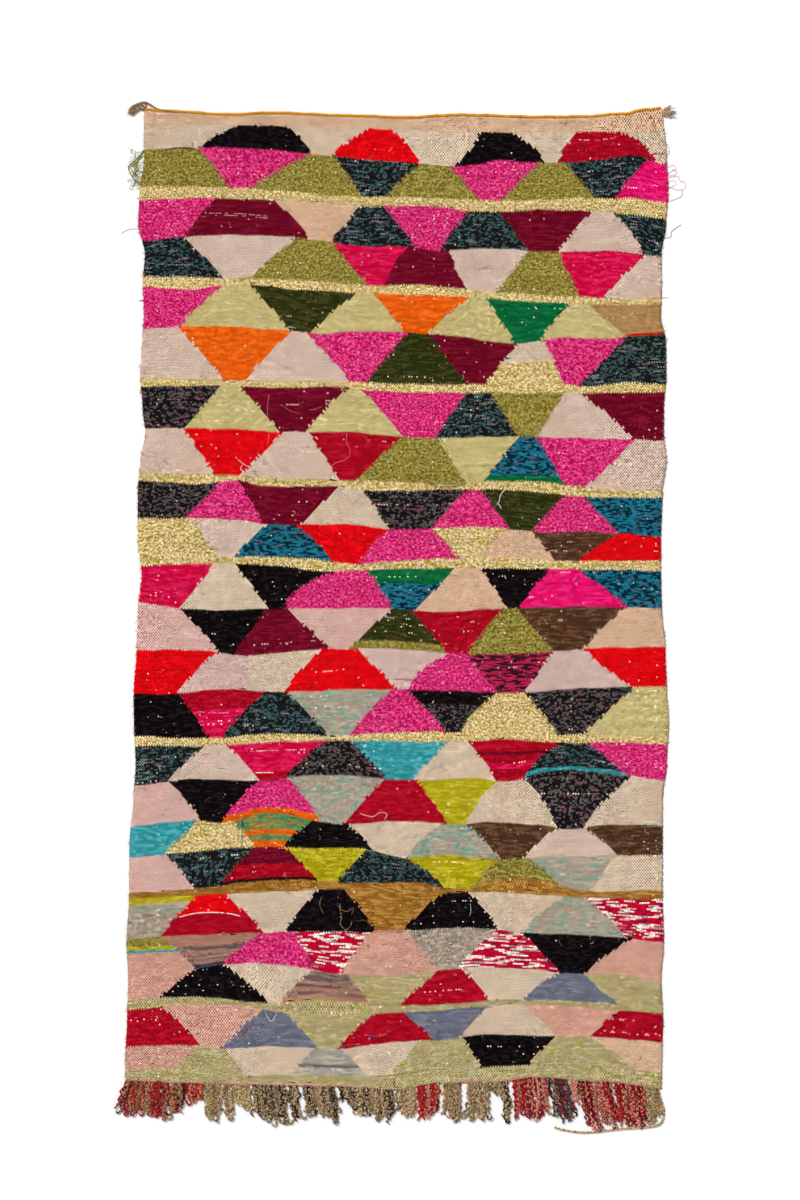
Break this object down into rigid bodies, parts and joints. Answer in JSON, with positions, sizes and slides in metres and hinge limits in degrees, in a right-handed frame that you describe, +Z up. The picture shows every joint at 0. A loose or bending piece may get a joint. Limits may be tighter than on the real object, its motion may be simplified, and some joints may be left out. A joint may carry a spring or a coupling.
{
  "type": "boucherouite rug",
  "caption": "Flat rectangular weft-faced rug of rag and wool yarn with uneven edges, a twined heading cord and a bunched warp fringe at the foot.",
  "frame": {"origin": "on the floor under the middle of the whole rug's box, fringe included", "axes": "+Y along the rug from the fringe to the heading, +X across it, +Z up out of the floor"},
  "size_m": [1.3472, 2.4904, 0.006],
  "materials": {
    "mixed_wool": "matte weft-faced weave of many-coloured rag and wool yarn",
    "ochre_cord": "matte twined yarn",
    "grey_yarn": "matte yarn",
    "beige_yarn": "matte frayed yarn",
    "warp_ends": "matte curled yarn ends"
  },
  "bodies": {
    "root": {"cloth": "mixed_wool", "heading_cord": "ochre_cord", "corner_loop": "grey_yarn", "corner_tuft": "beige_yarn", "fringe": "warp_ends"}
  },
  "joints": []
}
